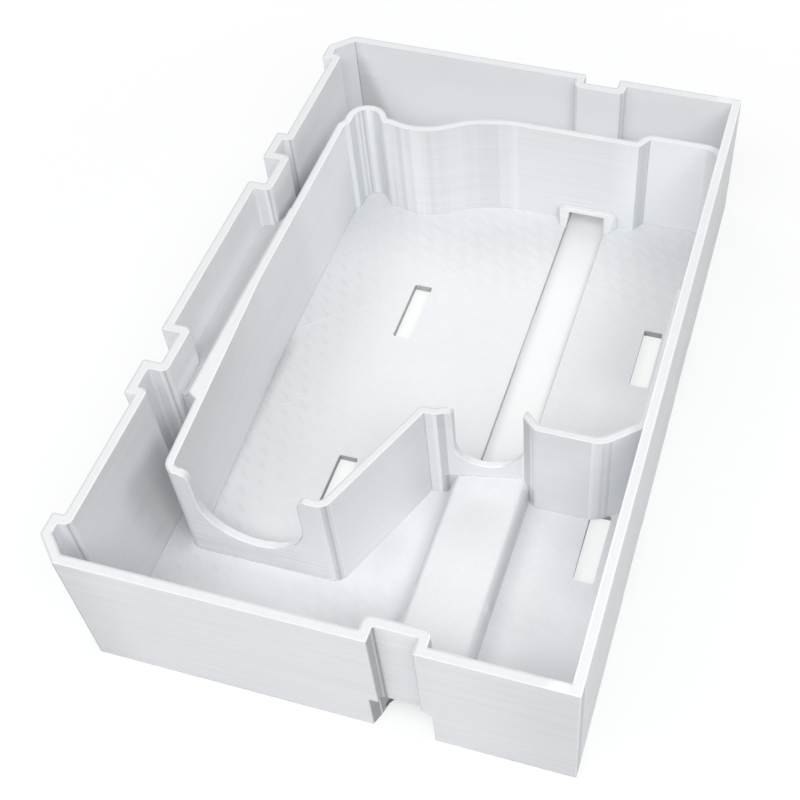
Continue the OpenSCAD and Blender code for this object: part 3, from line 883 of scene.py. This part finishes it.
# %% Four strings
# points on the pocket's floor (metres) that the strings run through
HAIRS = (((-0.0778, 0.0190), (-0.0610, 0.0345), (-0.0455, 0.0470), (-0.0358, 0.0560)),
         ((-0.0298, 0.0640), (-0.0150, 0.0770), (0.0032, 0.0930)),
         ((-0.0768, -0.0240), (-0.0715, -0.0258), (-0.0668, -0.0250), (-0.0628, -0.0225),
          (-0.0588, -0.0230)),
         ((-0.0718, -0.0200), (-0.0650, -0.0185), (-0.0590, -0.0160), (-0.0538, -0.0140)))
HAIR_LIFT = 0.00008         # metres, a string's middle above the floor
HAIR_SIDES = 6
WAVER_NOISE = {"Scale": 60.0, "Detail": 1.0}
HAIR_SIZES = {"Step": 0.0012, "Radius": 0.00020, "Waver": 0.0022}


def hair_tree():
    """Thin strings of plastic that follow drawn lines, with a slow waver."""
    tree, add = empty_tree("hairs_on_floor", tuple(HAIR_SIZES))
    given = add("NodeGroupInput")
    curve = add("GeometryNodeMeshToCurve", inputs={"Mesh": given["Geometry"]})
    fine = add("GeometryNodeResampleCurve", {"mode": "LENGTH"},
               {"Curve": curve["Curve"], "Length": given["Step"]})
    drift = add("ShaderNodeTexNoise", inputs=WAVER_NOISE)
    centred = add("ShaderNodeVectorMath", {"operation": "SUBTRACT"},
                  {0: drift["Color"], 1: (0.5, 0.5, 0.5)})
    flat = add("ShaderNodeVectorMath", {"operation": "MULTIPLY"},
               {0: centred["Vector"], 1: (1.0, 1.0, 0.0)})
    push = add("ShaderNodeVectorMath", {"operation": "SCALE"},
               {0: flat["Vector"], "Scale": given["Waver"]})
    moved = add("GeometryNodeSetPosition", inputs={"Geometry": fine["Curve"],
                                                   "Offset": push["Vector"]})
    ring = add("GeometryNodeCurvePrimitiveCircle", inputs={"Resolution": HAIR_SIDES,
                                                           "Radius": given["Radius"]})
    tube = add("GeometryNodeCurveToMesh", inputs={"Curve": moved["Geometry"],
                                                  "Profile Curve": ring["Curve"],
                                                  "Fill Caps": True})
    finish_tree(add, tube["Mesh"], given["Material"])
    return tree


def hair_mesh():
    points, lines = [], []
    for hair in HAIRS:
        lines += [(len(points) + k, len(points) + k + 1) for k in range(len(hair) - 1)]
        points += [(px, py, FLOOR_TOP + HAIR_LIFT) for px, py in hair]
    mesh = bpy.data.meshes.new("hair_path")
    mesh.from_pydata(points, lines, [])
    return mesh


grown("hairs", hair_mesh(), hair_tree(), {**HAIR_SIZES, "Material": plastic})

# %% [markdown]
# ## Floor
#
# The picture has a plain white ground. A floor bright enough to be white by lamps alone would
# burn the tray out. So the floor adds white light of its own, which only the camera sees, and
# keeps the rest of its paint for a soft shadow. Under the tray the share of that light is
# smaller, most of all below the channel, which paints shade on the ground seen in the slots and
# the channel.

# %% White floor
FLOOR_GLOW = 0.70           # share of the floor's picture that is plain white light
SHADED_GLOW = 0.26          # the same below the long channel, where less white light paints shade on the ground
SLOT_GLOW = 0.68            # the same below the slots, which show white ground
CHANNEL_X = 0.037           # metres, middle of the channel
CHANNEL_SIDE = (0.012, 0.018)       # metres from there, where its shade ends
UNDER_X, UNDER_Y = (0.085, 0.100), (0.135, 0.155)   # metres from the middle, the tray's border
FAR = (0.20, 0.55)          # metres from the middle, where the shadow ends
FLOOR_PAINT = (0.885, 0.905, 0.905, 1.0)
WHITE = (1.0, 1.0, 1.0, 1.0)
GLOW_STRENGTH = 1.05
FLOOR_SIDE = 6.0            # metres, half the floor's width


def white_floor():
    material = bpy.data.materials.new("floor_white")
    start = first_wire(material)
    seen = start.node("ShaderNodeLightPath", output="Is Camera Ray")
    paint = start.node("ShaderNodeBsdfDiffuse", inputs={"Color": FLOOR_PAINT})
    glow = start.node("ShaderNodeEmission", inputs={"Color": WHITE, "Strength": GLOW_STRENGTH})
    x, y, _ = start.node("ShaderNodeTexCoord", output="Object").parts()
    under = x.size().falls(*UNDER_X) * y.size().falls(*UNDER_Y)
    beside = (x - CHANNEL_X).size().rises(*CHANNEL_SIDE)
    far = x.math("SQRT", x * x + y * y).rises(*FAR)
    share = seen * (FLOOR_GLOW + under * (SHADED_GLOW - FLOOR_GLOW)
                    + under * beside * (SLOT_GLOW - SHADED_GLOW) + far * (1.0 - FLOOR_GLOW))
    mixed = start.node("ShaderNodeMixShader", inputs={0: share, 1: paint, 2: glow})
    start.node("ShaderNodeOutputMaterial", inputs={"Surface": mixed})
    mesh = bpy.data.meshes.new("floor")
    corner_signs = ((-1, -1), (1, -1), (1, 1), (-1, 1))
    mesh.from_pydata([(FLOOR_SIDE * sx, FLOOR_SIDE * sy, 0) for sx, sy in corner_signs],
                     [], [(0, 1, 2, 3)])
    mesh.materials.append(material)
    floor = bpy.data.objects.new("floor", mesh)
    bpy.context.collection.objects.link(floor)


white_floor()
print("floor", 2 * FLOOR_SIDE, "metres wide")

# %% [markdown]
# ## Light
#
# In the photograph every wall is lit, the front a little more, and no shadow has a hard edge.
# One big lamp would leave the far walls dark, and a bright sky would wash out the bends. Five
# large soft lamps around the tray and a faint even sky come closest.

# %% Soft lamps and sky
LAMP_SIZE = 0.7             # metres
LAMPS = (("front", (0.0, -0.8, 1.2), 6.0),          # name, place in metres, watts
         ("front_right", (0.7, -0.7, 1.1), 6.7),
         ("front_left", (-0.7, -0.7, 1.1), 4.0),
         ("back_left", (-0.7, 0.7, 1.1), 3.7),
         ("back_right", (0.7, 0.7, 1.1), 3.6))
SKY_STRENGTH = 0.2


def softbox(name, place, power, target):
    data = bpy.data.lights.new(name, "AREA")
    data.shape = "RECTANGLE"
    data.size = data.size_y = LAMP_SIZE
    data.energy = power
    lamp = bpy.data.objects.new(name, data)
    lamp.location = place
    lamp.rotation_euler = (target - Vector(place)).to_track_quat("-Z", "Y").to_euler()
    bpy.context.collection.objects.link(lamp)


def white_sky():
    """A faint sky that the camera sees as plain white."""
    world = bpy.data.worlds.new("sky")
    bpy.context.scene.world = world
    start = first_wire(world)
    seen = start.node("ShaderNodeLightPath", output="Is Camera Ray")
    soft, plain = [start.node("ShaderNodeBackground", inputs={"Color": WHITE, "Strength": strength})
                   for strength in (SKY_STRENGTH, 1.0)]
    mixed = start.node("ShaderNodeMixShader", inputs={0: seen, 1: soft, 2: plain})
    start.node("ShaderNodeOutputWorld", inputs={"Surface": mixed})


for name, place, power in LAMPS:
    softbox(name, place, power, (tray_low + tray_high) / 2)
white_sky()
print("lamps", len(LAMPS), "watts together", round(sum(lamp[2] for lamp in LAMPS), 1))

# %% View settings
bpy.context.scene.view_settings.view_transform = "Standard"
